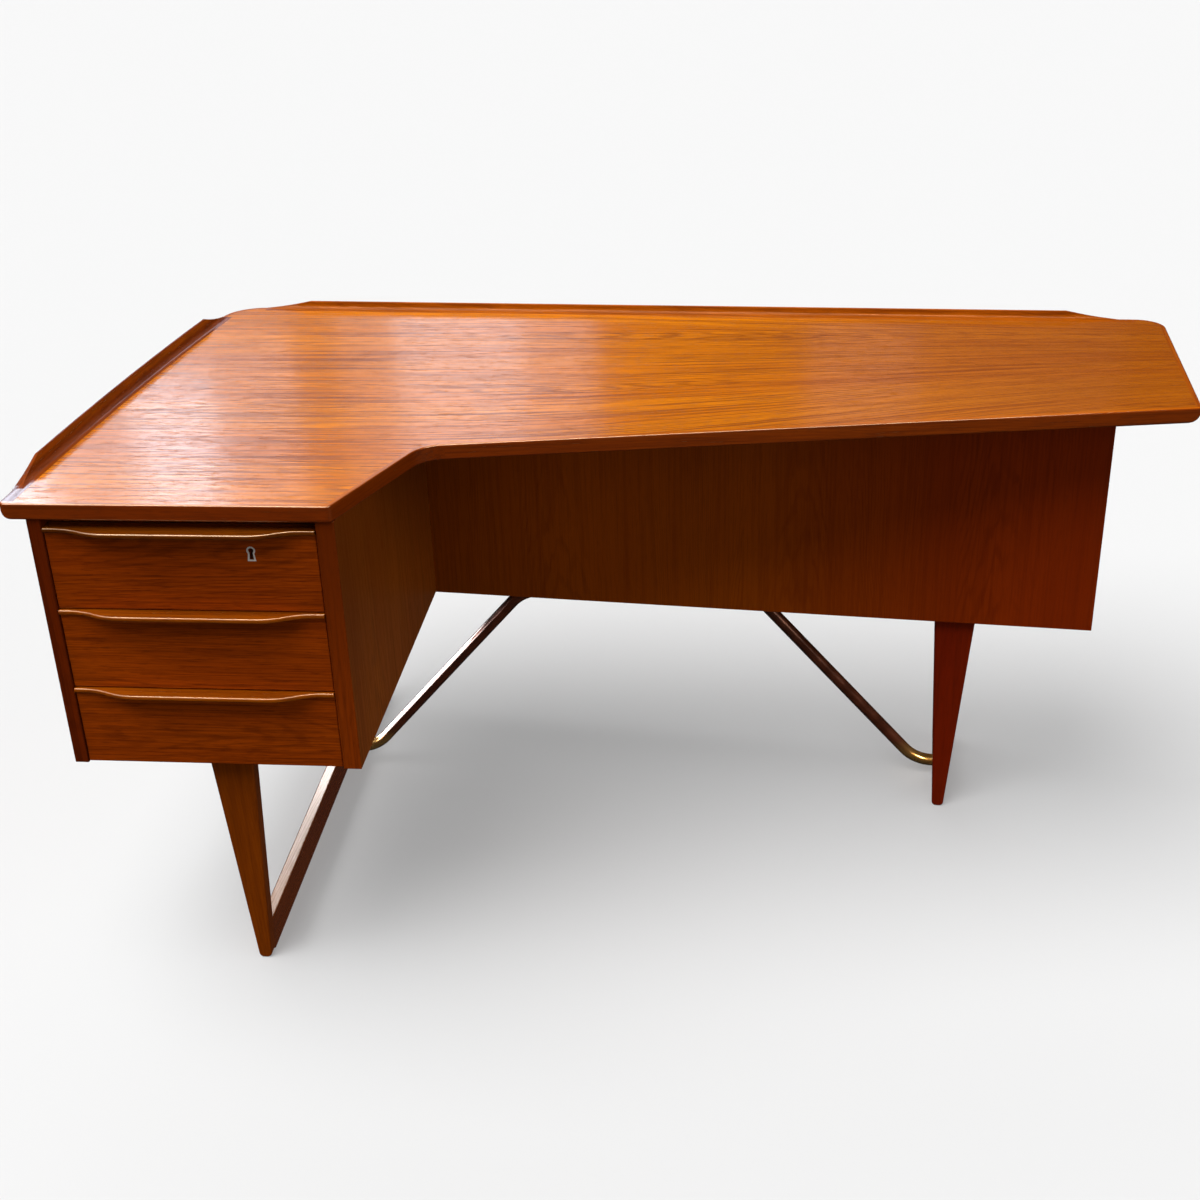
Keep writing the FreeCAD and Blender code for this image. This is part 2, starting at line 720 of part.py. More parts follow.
def sled_frame(length, lean):
    """Two legs, a floor runner and a top rail, under X = 0 with the front at Y = 0."""
    inside = (leg_thickness, length - leg_thickness)
    half = foot_width / 2
    return {
        "front_leg": tapered_leg(0, 0, lean),
        "rear_leg": tapered_leg(length - leg_thickness, length, lean),
        "runner": block((lean - half, lean + half), inside, (0, runner_height)),
        "rail": block((-half, half), inside, (case_bottom - frame_rail, case_bottom)),
    }


def wood_screw(at, radius, length, head, head_height):
    """Screw driven upwards, with its round head hanging just below the point."""
    shank = rod(radius, at, at + UP * length)
    cap = rod(head, at - UP * head_height, at)
    return shank.fuse(cap).removeSplitter()


def make_frames():
    back = cabinet_point(0, cabinet_depth - rear_setback, 0)
    slope = math.tan(math.radians(cabinet_turn))
    left_length = back.y + (left_frame_inset + back.x) * slope - left_leg_setback
    right_length = cabinet_depth - rear_setback - right_leg_setback
    screws = []
    for side, length, lean, at in (
            ("left", left_length, foot_inward, Vec(-left_frame_inset, left_leg_setback, 0)),
            ("right", right_length, -foot_inward, Vec(right_frame_reach, right_leg_setback, 0))):
        frame = sled_frame(length, lean)
        spots = [leg_thickness + share * (length - 2 * leg_thickness) for share in frame_screw_shares]
        driven = [wood_screw(Vec(0, y, case_bottom - frame_rail), frame_screw_radius, frame_screw_length,
                             screw_head_radius, screw_head_height) for y in spots]
        for shape in list(frame.values()) + driven:
            if side == "left":
                shape.rotate(Vec(0, 0, 0), UP, left_frame_turn)
            shape.translate(at)
        if side == "right":
            frame = {name: in_cabinet(shape) for name, shape in frame.items()}
            driven = [in_cabinet(shape) for shape in driven]
        for name, shape in frame.items():
            nodes[f"{side}_frame_{name}"] = shape
        screws += driven
    return screws


def drive(screws):
    """Bore the screws' holes in the pieces they pass through and keep the screws as one group."""
    for wood in ("left_frame_rail", "right_frame_rail", "pedestal_bottom", "cabinet_bottom"):
        for screw in screws:
            nodes[wood] = nodes[wood].cut(screw)
    nodes["underside_screws"] = Part.makeCompound(screws)


def make_tube():
    radius = tube_diameter / 2
    high = case_bottom - radius
    inner = foot_inward + foot_width / 2
    left_swing = (tube_back - left_leg_setback) * math.tan(math.radians(left_frame_turn))
    left_end = -left_frame_inset + inner - left_swing - tube_entry
    face = cabinet_point(right_frame_reach - inner, 0, 0)
    slope = math.tan(math.radians(cabinet_turn))
    right_end = face.x + (tube_back - face.y) * slope + tube_entry
    half_run = tube_run / 2
    half_spread = tube_spread / 2
    line = ((left_end, tube_foot), (tube_middle - half_spread, tube_foot), (tube_middle - half_run, high),
            (tube_middle + half_run, high), (tube_middle + half_spread, tube_foot), (right_end, tube_foot))
    points = [Vec(x, tube_back, z) for x, z in line]
    edges, last = path_edges(points, [tube_bend] * (len(points) - 2))
    path = Part.Wire(edges + [Part.makeLine(last, points[-1])])
    skins = []
    for size in (radius, radius - tube_wall):
        ring = Part.Wire(Part.makeCircle(size, points[0], Vec(1, 0, 0)))
        skins.append(path.makePipeShell([ring], True, True))
    nodes["stretcher_tube"] = skins[0].cut(skins[1])
    for name in ("left_frame_runner", "right_frame_runner"):
        nodes[name] = nodes[name].cut(skins[0])
    return make_clips(high, radius)


def make_clips(high, radius):
    """Saddle clips that hold the tube's upper run against the cabinet, and their screws."""
    inner = radius + clip_clearance
    outer = inner + clip_thickness
    clips = []
    screws = []
    for side in (-1, 1):
        x = tube_middle + side * clip_share * tube_run
        ends = (x - clip_width / 2, x + clip_width / 2)
        across = (tube_back - outer, tube_back + outer)
        lows = (Vec(ends[0], tube_back, high), Vec(ends[1], tube_back, high))
        above = block(ends, across, (case_bottom, case_bottom + outer))
        saddle = rod(outer, *lows).fuse(block(ends, across, (high, case_bottom))).cut(above)
        wide = (across[0] - clip_flange, across[1] + clip_flange)
        strap = saddle.fuse(block(ends, wide, (case_bottom - clip_thickness, case_bottom)))
        upper_room = block(ends, (tube_back - inner, tube_back + inner), (high, case_bottom))
        strap = strap.cut(rod(inner, *lows).fuse(upper_room)).removeSplitter()
        for y in (across[0] - clip_flange / 2, across[1] + clip_flange / 2):
            screw = wood_screw(Vec(x, y, case_bottom - clip_thickness), clip_screw_radius, clip_screw_length,
                               clip_screw_head, clip_screw_head_height)
            strap = strap.cut(screw)
            screws.append(screw)
        clips.append(strap)
    nodes["tube_clips"] = Part.makeCompound(clips)
    return screws


def main():
    make_top()
    make_pedestal()
    make_cabinet()
    drive(make_frames() + make_tube())
    box = Part.makeCompound(list(nodes.values())).optimalBoundingBox(False)
    home = Vec(-(box.XMin + box.XMax) / 2, -(box.YMin + box.YMax) / 2, 0)
    os.makedirs("parts", exist_ok=True)
    for name, shape in nodes.items():
        shape.translate(home)
        shape.exportStep(f"parts/{name}.step")
    return home


origin_shift = main()
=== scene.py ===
"""Looks of a boomerang-plan teak writing desk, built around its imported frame. Metres, +Z up."""

import json
import math

import bmesh
import bpy
from mathutils import Matrix, Vector
from mathutils.bvhtree import BVHTree

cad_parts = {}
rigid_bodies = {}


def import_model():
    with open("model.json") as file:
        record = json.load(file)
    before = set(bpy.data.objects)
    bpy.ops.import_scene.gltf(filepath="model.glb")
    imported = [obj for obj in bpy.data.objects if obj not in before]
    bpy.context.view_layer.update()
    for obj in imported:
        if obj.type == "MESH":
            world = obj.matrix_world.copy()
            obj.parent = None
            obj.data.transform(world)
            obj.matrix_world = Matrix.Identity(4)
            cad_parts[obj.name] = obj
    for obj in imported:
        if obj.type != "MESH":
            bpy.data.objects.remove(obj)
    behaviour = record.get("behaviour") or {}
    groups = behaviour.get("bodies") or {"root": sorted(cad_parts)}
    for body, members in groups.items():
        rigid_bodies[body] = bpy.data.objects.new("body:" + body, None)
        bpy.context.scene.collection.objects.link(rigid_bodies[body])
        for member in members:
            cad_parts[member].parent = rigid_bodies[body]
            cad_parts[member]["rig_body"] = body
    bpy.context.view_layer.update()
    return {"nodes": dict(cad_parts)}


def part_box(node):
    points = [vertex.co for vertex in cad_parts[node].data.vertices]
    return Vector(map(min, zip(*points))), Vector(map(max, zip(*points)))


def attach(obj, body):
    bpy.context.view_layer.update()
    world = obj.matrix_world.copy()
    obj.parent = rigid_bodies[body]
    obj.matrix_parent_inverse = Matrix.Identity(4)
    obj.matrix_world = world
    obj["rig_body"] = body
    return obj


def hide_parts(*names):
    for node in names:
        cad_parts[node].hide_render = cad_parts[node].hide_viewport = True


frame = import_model()
nodes = frame["nodes"]
scene = bpy.context.scene


# Shader sums

# Sockets of a Mix node that mixes colours; they share their names with others, so they go by number
mix_factor, mix_a, mix_b, mix_result = 0, 6, 7, 2


class Wire:
    """A shader socket that takes part in Python sums."""

    def __init__(self, finish, socket):
        self.finish = finish
        self.socket = socket

    def math(self, operation, *values):
        return self.finish.add("ShaderNodeMath", {"operation": operation}, values)

    def __add__(self, other):
        return self.math("ADD", self, other)

    __radd__ = __add__

    def __sub__(self, other):
        return self.math("SUBTRACT", self, other)

    def __rsub__(self, other):
        return self.math("SUBTRACT", other, self)

    def __mul__(self, other):
        return self.math("MULTIPLY", self, other)

    __rmul__ = __mul__

    def __truediv__(self, other):
        return self.math("DIVIDE", self, other)

    def __rtruediv__(self, other):
        return self.math("DIVIDE", other, self)


class Finish:
    """One procedural material: a Principled shader and the nodes that feed it."""

    def __init__(self, name):
        self.material = bpy.data.materials.new(name)
        self.material.use_nodes = True
        self.tree = self.material.node_tree
        self.tree.nodes.clear()
        self.shader = self.tree.nodes.new("ShaderNodeBsdfPrincipled")
        self.out = self.tree.nodes.new("ShaderNodeOutputMaterial")
        self.tree.links.new(self.shader.outputs[0], self.out.inputs[0])

    def plug(self, socket, value):
        if isinstance(value, Wire):
            self.tree.links.new(value.socket, socket)
        else:
            socket.default_value = value

    def add(self, kind, settings=None, sockets=(), output=0):
        """Adds a node, with its settings first and then the values or links of its sockets."""
        node = self.tree.nodes.new(kind)
        for key, value in (settings or {}).items():
            setattr(node, key, value)
        pairs = sockets.items() if isinstance(sockets, dict) else enumerate(sockets)
        for key, value in pairs:
            self.plug(node.inputs[key], value)
        return Wire(self, node.outputs[output])

    def set(self, **values):
        for key, value in values.items():
            self.plug(self.shader.inputs[key.replace("_", " ")], value)

    def mix(self, factor, a, b, blend="MIX"):
        a, b = ((*c, 1) if isinstance(c, tuple) and len(c) == 3 else c for c in (a, b))
        return self.add("ShaderNodeMix", {"data_type": "RGBA", "blend_type": blend},
                        {mix_factor: factor, mix_a: a, mix_b: b}, mix_result)

    def span(self, value, low, high, to_low=0.0, to_high=1.0):
        """Moves a value from one range to another, smoothly and with no overshoot."""
        return self.add("ShaderNodeMapRange", {"interpolation_type": "SMOOTHSTEP"},
                        (value, low, high, to_low, to_high))

    def place(self):
        """The piece's own coordinates."""
        return self.add("ShaderNodeTexCoord", output="Object")

    def part(self, vector, axis):
        """One of a vector's X, Y and Z."""
        return self.add("ShaderNodeSeparateXYZ", {}, (vector,), axis)

    def noise(self, place, stretch, detail=2.0, roughness=0.5):
        where = self.add("ShaderNodeVectorMath", {"operation": "MULTIPLY"}, (place, stretch))
        return self.add("ShaderNodeTexNoise", {},
                        {"Vector": where, "Scale": 1.0, "Detail": detail, "Roughness": roughness})

    def bump(self, height, strength, distance):
        return self.add("ShaderNodeBump", {},
                        {"Strength": strength, "Distance": distance, "Height": height})


# Woods. A stretch is a pattern's cycles per metre along the run, across it and in depth, and a band is
# the part of a pattern that shows.

sway_stretch = (1.5, 6.0, 6.0)
wander_stretch = (7.0, 45.0, 45.0)
fade_stretch = (1.6, 18.0, 18.0)
mist_stretch = (1.0, 9.0, 9.0)
wear_stretch = (6.0, 60.0, 60.0)
line_stretch = (3.0, 170.0, 170.0)
hair_stretch = (14.0, 330.0, 330.0)
pore_stretch = (42.0, 500.0, 500.0)

late_band = (0.55, 1.0)
fade_band = (0.38, 0.62)
mist_band = (0.3, 0.7)
wear_band = (0.20, 0.48)
line_band = (0.46, 0.62)
hair_band = (0.46, 0.68)
pore_band = (0.54, 0.68)
facing_band = (0.80, 0.97)
crisp = 0.6

leaf_width = 0.34
leaf_start = 3.0
leaf_heart = leaf_width * 0.45
leaf_slant = 0.35
ring_width = 0.010
arch_rise = 10.0
arch_run = 0.13
sway_reach = 0.035
wander_reach = 0.03

pore_shade = 0.6
late_hold = 0.3
sheen_band = (0.3, 0.8)
sheen_dip, sheen_rise = 0.03, 0.06
pore_dulling, line_dulling = 0.35, 0.10
hair_relief, pore_relief = 0.6, 0.8
relief = 0.0003


def fibres(finish, axes, turn):
    """Coordinates as run, across and depth; axes names them, and turn is in degrees round the upright."""
    place = finish.place()
    if turn:
        place = finish.add("ShaderNodeVectorRotate", {"rotation_type": "Z_AXIS"},
                           {"Vector": place, "Angle": -math.radians(turn)})
    return [finish.part(place, axis) for axis in axes]


def facing(finish, axis, sense=1.0):
    """1 on faces that look along an axis, or against it where sense is -1, and 0 elsewhere."""
    normal = finish.add("ShaderNodeNewGeometry", output="Normal")
    return finish.span(finish.part(normal, axis) * sense, *facing_band)


def tight(stretch, fine):
    """A pattern drawn closer together across the grain."""
    return stretch[0], stretch[1] * fine, stretch[2] * fine


def shaded(tones, red, green, blue):
    """A wood's tones with a share of each colour kept: a darker copy, for painted shade."""
    return [(r * red, g * green, b * blue) for r, g, b in tones]


def teak(name, axes, tones, turn=0.0, fine=1.0, figure=0.5, streak=0.5, hair=0.35, pore=0.3, gloss=0.3,
         specular=0.5, tint=(1.0, 1.0, 1.0), grip=0.1, fan=None, painted_shade_along=None, stains_and_painted_shade=(), painted_top_light=None, wear_and_painted_sheen=None,
         painted_side_light=None):
    """Oiled and lacquered teak; tones are dark, middle and light.

    figure, streak, hair and pore are the strengths of the arches, lines, hairlines and pores, and fine
    tightens the lines. Start and end are metres along the run, or across it for blush.
    fan (start, end, centre, share): draws the lines together towards a centre
    dusk (start, end, share): painted shade that darkens the run's far end
    blush (start, end, stain), any number of them: multiplies bands across the width, for real staining and for
    painted shade
    crown: the tone of what looks up, painted light that makes the top lighter than the sides; scuff: a tone in
    patches on what looks up, real wear and a painted sheen
    flank (sense, stain): painted light multiplied onto what looks to the right, where sense is 1, or to the
    left, where it is -1
    """
    finish = Finish(name)
    run, across, depth = fibres(finish, axes, turn)
    if fan:
        start, end, centre, share = fan
        across = (across - centre) / finish.span(run, start, end, 1.0, 1.0 - share) + centre
    place = finish.add("ShaderNodeCombineXYZ", {}, (run, across, depth))
    dark, middle, light = tones
    sway = finish.noise(place, sway_stretch) - 0.5
    shift = across + depth * leaf_slant + sway * sway_reach
    fold = shift.math("PINGPONG", shift + leaf_start, leaf_width) - leaf_heart
    wander = finish.noise(place, wander_stretch, detail=3.0) - 0.5
    growth = (fold * fold * arch_rise + run * arch_run + wander * wander_reach) / ring_width
    wave = growth.math("SINE", growth * 2 * math.pi) * 0.5 + 0.5
    late = finish.span(wave, *late_band)
    fade = finish.span(finish.noise(place, fade_stretch), *fade_band)
    lines = finish.span(finish.noise(place, tight(line_stretch, fine), detail=3.0, roughness=crisp), *line_band)
    hairs = finish.noise(place, tight(hair_stretch, fine), detail=3.0, roughness=crisp)
    mist = finish.noise(place, mist_stretch, detail=3.0)
    pores = finish.span(finish.noise(place, tight(pore_stretch, fine), roughness=crisp), *pore_band)
    tone = finish.mix(finish.span(mist, *mist_band), middle, light)
    tone = finish.mix(late * fade * figure, tone, dark)
    tone = finish.mix(lines * streak, tone, dark)
    tone = finish.mix(finish.span(hairs, *hair_band) * hair, tone, dark)
    tone = finish.mix(pores * pore, tone, tuple(c * pore_shade for c in dark))
    # Painted shade: darker towards the run's far end
    if painted_shade_along:
        start, end, share = painted_shade_along
        tone = finish.mix(finish.span(run, start, end) * share, tone, dark)
    # Bands across the width: real staining and painted shade
    for start, end, tone_factor in stains_and_painted_shade:
        tone = finish.mix(finish.span(across, start, end), tone, tone_factor, "MULTIPLY")
    # Painted top light: what looks up takes a lighter tone than the sides
    if painted_top_light:
        tone = finish.mix(facing(finish, "Z") * (1.0 - lines * streak), tone, painted_top_light)
    # Pale patches on what looks up: real wear and a painted sheen
    if wear_and_painted_sheen:
        wear = finish.span(finish.noise(place, wear_stretch, detail=4.0, roughness=crisp), *wear_band)
        tone = finish.mix(facing(finish, "Z") * wear * (1.0 - late * late_hold), tone, wear_and_painted_sheen)
    # Painted light on what looks to one side
    if painted_side_light:
        sense, tone_factor = painted_side_light
        tone = finish.mix(facing(finish, "X", sense), tone, tone_factor, "MULTIPLY")
    sheen = finish.span(hairs, *sheen_band, gloss - sheen_dip, gloss + sheen_rise)
    finish.set(Base_Color=tone, Roughness=sheen + pores * pore * pore_dulling + lines * streak * line_dulling,
               Normal=finish.bump(hairs * hair_relief - pores * pore_relief, grip, relief),
               Specular_IOR_Level=specular, Specular_Tint=(*tint, 1))
    return finish.material


board_stretch = (1.5, 60.0, 60.0)
fibre_stretch = (14.0, 700.0, 700.0)
board_band = (0.35, 0.7)
fibre_band = (0.55, 0.8)
fibre_strength = 0.6
box_gloss = 0.55
box_dip, box_rise = 0.05, 0.1
box_grip = 0.1
box_specular = 0.3


def plain_wood(name, axes, tones):
    """Pale secondary timber, lightly finished; tones are dark, middle and light."""
    finish = Finish(name)
    place = finish.add("ShaderNodeCombineXYZ", {}, fibres(finish, axes, 0))
    boards = finish.noise(place, board_stretch, detail=3.0)
    fibre = finish.noise(place, fibre_stretch, detail=3.0, roughness=crisp)
    dark, middle, light = tones
    tone = finish.mix(finish.span(boards, *board_band), light, middle)
    tone = finish.mix(finish.span(fibre, *fibre_band) * fibre_strength, tone, dark)
    rough = finish.span(fibre, *sheen_band, box_gloss - box_dip, box_gloss + box_rise)
    finish.set(Base_Color=tone, Roughness=rough, Normal=finish.bump(fibre, box_grip, relief),
               Specular_IOR_Level=box_specular)
    return finish.material


# Metals

tarnish_stretch = (28.0, 28.0, 28.0)
rubbing_stretch = (900.0, 900.0, 900.0)
cloud_stretch = (30.0, 30.0, 30.0)
speck_stretch = (700.0, 700.0, 700.0)

tarnish_band = (0.3, 0.65)
tarnish_share = 0.5
tarnish_dulling = 0.1
rubbing_share, patch_share = 0.3, 0.7
metal_dip, metal_rise = 0.05, 0.1
metal_grip = 0.03

cloud_band = (0.3, 0.7)
cloud_crisp = 0.55
cloud_lift = 1.7
bare_band = (0.15, 0.5)
brown_mirror, bare_mirror = 0.25, 0.5
tube_gloss = (0.16, 0.26)
lacquer_gloss = 0.06
tube_grip = 0.02
metal_relief = 0.0002


def metal(name, bright, tarnish, gloss, mirror):
    """Metal with a thin uneven tarnish and fine rubbing marks; mirror is its metallic share."""
    finish = Finish(name)
    place = finish.place()
    patch = finish.noise(place, tarnish_stretch, detail=4.0, roughness=crisp)
    rubbing = finish.noise(place, rubbing_stretch)
    cover = finish.span(patch, *tarnish_band) * tarnish_share
    rough = finish.span(rubbing * rubbing_share + patch * patch_share, *cloud_band,
                        gloss - metal_dip, gloss + metal_rise)
    finish.set(Base_Color=finish.mix(cover, bright, tarnish), Metallic=mirror - cover * tarnish_dulling,
               Roughness=rough, Normal=finish.bump(rubbing, metal_grip, metal_relief))
    return finish.material


def patina(name, brown, bare_and_glint, low, high):
    """Brass tube browned with age under old lacquer; below low and not above high it shows patches of brass
    rubbed through, real wear that also stands for a painted highlight at the bend.
    """
    finish = Finish(name)
    place = finish.place()
    height = finish.part(place, "Z")
    patch = finish.noise(place, cloud_stretch, detail=3.0, roughness=cloud_crisp)
    speck = finish.noise(place, speck_stretch)
    # Rubbed-through brass low on the tube: real wear and a painted highlight
    rub_and_glint = (1.0 - finish.span(height, low, high)) * finish.span(patch, *bare_band)
    cloudy = finish.mix(finish.span(patch, *cloud_band), brown, tuple(c * cloud_lift for c in brown))
    finish.set(Base_Color=finish.mix(rub_and_glint, cloudy, bare_and_glint), Metallic=brown_mirror + rub_and_glint * bare_mirror,
               Roughness=finish.span(patch, *cloud_band, *tube_gloss), Coat_Weight=1.0,
               Coat_Roughness=lacquer_gloss, Normal=finish.bump(speck, tube_grip, metal_relief))
    return finish.material


# Finishes of this desk

top_tones = ((0.21, 0.036, 0.0006), (0.74, 0.190, 0.0010), (0.90, 0.262, 0.002))
edge_tones = ((0.12, 0.015, 0.0005), (0.26, 0.034, 0.0008), (0.32, 0.050, 0.0012))
lip_tones = ((0.13, 0.019, 0.0006), (0.28, 0.046, 0.001), (0.36, 0.068, 0.002))
back_tones = ((0.18, 0.029, 0.0006), (0.39, 0.078, 0.001), (0.46, 0.102, 0.002))
case_tones = ((0.13, 0.017, 0.0006), (0.27, 0.036, 0.001), (0.33, 0.050, 0.0014))
cabinet_tones = ((0.18, 0.029, 0.0006), (0.34, 0.058, 0.001), (0.39, 0.073, 0.0014))
drawer_tones = ((0.10, 0.012, 0.0005), (0.35, 0.047, 0.001), (0.45, 0.070, 0.0014))
pull_tones = ((0.15, 0.025, 0.0008), (0.33, 0.065, 0.001), (0.42, 0.090, 0.0015))
# One teak for all the legs: the darker, redder tones of the right legs and rails are painted shade, and the
# lighter tones of the left legs painted light
leg_tones = ((0.10, 0.006, 0.0004), (0.23, 0.013, 0.0008), (0.29, 0.021, 0.001))
left_leg_painted_light_tones = ((0.10, 0.015, 0.0005), (0.22, 0.036, 0.0008), (0.28, 0.052, 0.001))
box_tones = ((0.30, 0.17, 0.08), (0.52, 0.35, 0.19), (0.62, 0.45, 0.27))

# Painted top light: the edging's upper faces take the veneer's lit tone while its fronts keep the darker edge
# tones as painted shade; the end edging's is darker, matching the top's painted shade at that end
painted_top_light_tone = (0.60, 0.138, 0.001)
end_painted_top_light_tone = (0.40, 0.082, 0.001)
# Pale patches on the runners' tops: real wear and a painted sheen
wear_and_sheen_tone = (0.62, 0.36, 0.24)

cabinet_turn = -5.6
wing_turn = 70.4
long_turn = 8.65
end_turn = 85.0

warm = (1.0, 0.55, 0.3)
edge_tint = (1.0, 0.8, 0.55)
pull_tint = (1.0, 0.75, 0.5)
scuff_tint = (1.0, 0.92, 0.88)

edge_look = dict(figure=0.3, gloss=0.13, specular=1.0, tint=edge_tint)
case_look = dict(fine=1.5, figure=0.35, gloss=0.36, specular=0.2, tint=warm)
pull_look = dict(figure=0.25, gloss=0.13, specular=1.0, tint=pull_tint)
grain_of_legs = dict(figure=0.2, streak=0.25, hair=0.25, pore=0.2)
leg_look = dict(gloss=0.32, specular=0.3, tint=warm, **grain_of_legs)

# The top is painted darker towards its right end: painted shade
top_veneer = teak("top_veneer", "XYZ", top_tones, fine=1.35, figure=0.5, streak=0.72, hair=0.5, pore=0.45,
                  gloss=0.13, grip=0.25, fan=(-0.35, 0.9, 0.25, 0.55), painted_shade_along=(-0.25, 0.85, 0.6))
front_edge = teak("front_edge", "XZY", edge_tones, painted_top_light=painted_top_light_tone, **edge_look)
wing_edge = teak("wing_edge", "XZY", edge_tones, wing_turn, painted_top_light=painted_top_light_tone, **edge_look)
long_edge = teak("long_edge", "XZY", edge_tones, long_turn, painted_top_light=painted_top_light_tone, **edge_look)
end_edge = teak("end_edge", "XZY", edge_tones, end_turn, painted_top_light=end_painted_top_light_tone, **edge_look)
left_edge = teak("left_edge", "YXZ", lip_tones, figure=0.3, gloss=0.16)
back_edge = teak("back_edge", "XYZ", back_tones, cabinet_turn, figure=0.3, gloss=0.2, specular=0.15,
                 tint=warm)
# Right pedestal side: painted shade darkening it towards the top, and painted light on the face that looks
# right
case_upright = teak("case_upright", "ZYX", case_tones, painted_shade_along=(0.38, 0.68, 0.72), painted_side_light=(1, (1.4, 2.25, 5.0)),
                    **case_look)
# Left pedestal side: the case tones darkened as painted shade, with the face that looks left lifted back by
# painted light, so that its front edge stays in painted shade
case_left_painted_shade = teak("case_left_painted_shade", "ZYX", shaded(case_tones, 0.52, 0.40, 0.6), painted_side_light=(-1, (2.05, 3.3, 1.6)),
                 **case_look)
# Cabinet: its first band across the width reddens the wood towards the right end, and its second is painted
# shade at the left end
case_cabinet = teak("case_cabinet", "ZXY", cabinet_tones, cabinet_turn, streak=0.3, hair=0.2, pore=0.2,
                    stains_and_painted_shade=((0.0, 0.6, (0.88, 0.46, 0.7)), (-0.10, -0.42, (0.66, 0.68, 1.0))), **case_look)
case_inside = teak("case_inside", "XYZ", cabinet_tones, cabinet_turn, figure=0.3, gloss=0.5, specular=0.2)
drawer_veneer = teak("drawer_veneer", "XZY", drawer_tones, fine=1.6, figure=0.3, streak=0.45, hair=0.5,
                     pore=0.45, gloss=0.34, specular=0.2, tint=warm)
pull_teak = teak("pull_teak", "XYZ", pull_tones, **pull_look)
# The top drawer's pull: the pull tones darkened as painted shade under the top's overhang
pull_painted_shade = teak("pull_painted_shade", "XYZ", shaded(pull_tones, 0.42, 0.42, 0.42), **pull_look)
# The same leg wood, painted darker on the right legs and lighter on the left legs
leg_upright = teak("leg_upright", "ZXY", leg_tones, **leg_look)
left_leg_painted_light = teak("left_leg_painted_light", "ZXY", left_leg_painted_light_tones, **leg_look)
leg_runner = teak("leg_runner", "YXZ", leg_tones, **leg_look)
# Runners: real wear and a painted sheen on their tops
leg_worn_and_sheened = teak("leg_worn_and_sheened", "YXZ", left_leg_painted_light_tones, wear_and_painted_sheen=wear_and_sheen_tone, gloss=0.22, specular=0.6,
                   tint=scuff_tint, **grain_of_legs)
box_along = plain_wood("box_along", "YZX", box_tones)
box_across = plain_wood("box_across", "XZY", box_tones)
# The lighter brass near the tube's feet is real wear and a painted highlight
tube_brass = patina("tube_brass", brown=(0.12, 0.026, 0.008), bare_and_glint=(0.72, 0.40, 0.10), low=0.025, high=0.075)
brass = metal("brass", (0.72, 0.48, 0.18), (0.30, 0.17, 0.06), gloss=0.28, mirror=0.8)
nickel = metal("nickel", (0.86, 0.78, 0.72), (0.62, 0.54, 0.49), gloss=0.25, mirror=0.15)
lock_steel = metal("lock_steel", (0.50, 0.50, 0.50), (0.22, 0.21, 0.20), gloss=0.4, mirror=0.7)

drawers = ("top_drawer", "middle_drawer", "bottom_drawer")
dressing = {
    top_veneer: ("top_panel",),
    front_edge: ("front_edging",),
    wing_edge: ("wing_edging",),
    long_edge: ("long_edging",),
    end_edge: ("end_edging",),
    left_edge: ("left_lip",),
    back_edge: ("back_lip", "corner_edging"),
    case_upright: ("pedestal_side_right",),
    case_left_painted_shade: ("pedestal_side_left",),
    case_cabinet: ("cabinet_front", "cabinet_end_left", "cabinet_end_right", "divider_door_side",
                   "divider_book_side", "door_panel"),
    case_inside: ("cabinet_bottom", "pedestal_bottom", "lock_rail"),
    drawer_veneer: tuple(f"{drawer}_front" for drawer in drawers),
    pull_teak: ("middle_drawer_pull", "bottom_drawer_pull"),
    pull_painted_shade: ("top_drawer_pull",),
    leg_upright: ("right_frame_front_leg", "right_frame_rear_leg"),
    left_leg_painted_light: ("left_frame_front_leg", "left_frame_rear_leg"),
    leg_runner: ("left_frame_rail", "right_frame_rail"),
    leg_worn_and_sheened: ("left_frame_runner", "right_frame_runner"),
    box_along: (*(f"{drawer}_{side}" for drawer in drawers for side in ("side_left", "side_right")),
                "drawer_slides"),
    box_across: tuple(f"{drawer}_{board}" for drawer in drawers for board in ("back", "bottom")),
    tube_brass: ("stretcher_tube",),
    brass: ("tube_clips", "hinge_leaves_case", "hinge_leaves_door", "hinge_pins", "hinge_screws_case",
            "hinge_screws_door", "underside_screws"),
    nickel: ("drawer_keyhole_plate", "door_keyhole_plate"),
    lock_steel: ("drawer_lock_case", "drawer_lock_bolt", "door_lock_case", "door_lock_bolt"),
}
for material, names in dressing.items():
    for name in names:
        nodes[name].data.materials.clear()
        nodes[name].data.materials.append(material)


# Rounded arrises: the radius of each piece's free edges

easing = {
    0.0030: ("front_edging", "wing_edging", "long_edging", "end_edging"),
    0.0010: ("left_lip", "back_lip", "pedestal_side_left", "pedestal_side_right", "top_drawer_front",
             "middle_drawer_front", "bottom_drawer_front", "cabinet_front", "cabinet_end_left",
             "cabinet_end_right", "cabinet_bottom", "pedestal_bottom", "divider_door_side",
             "divider_book_side", "door_panel"),
    0.0002: ("stretcher_tube",),
    0.0020: ("top_drawer_pull", "middle_drawer_pull", "bottom_drawer_pull", "left_frame_runner",
             "right_frame_runner", "left_frame_rail", "right_frame_rail"),
    0.0035: ("left_frame_front_leg", "left_frame_rear_leg", "right_frame_front_leg", "right_frame_rear_leg"),
}

merge_gap = 1e-6
touch_gap = 0.0006
flat_angle = math.radians(0.3)
arris_angle = math.radians(35)
crease_angle = math.radians(30)
round_steps = 3


def tree_of(name):
    mesh = nodes[name].data
    return BVHTree.FromPolygons([v.co for v in mesh.vertices], [p.vertices for p in mesh.polygons])


trees = {name: tree_of(name) for name in nodes}
boxes = {name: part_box(name) for name in nodes}


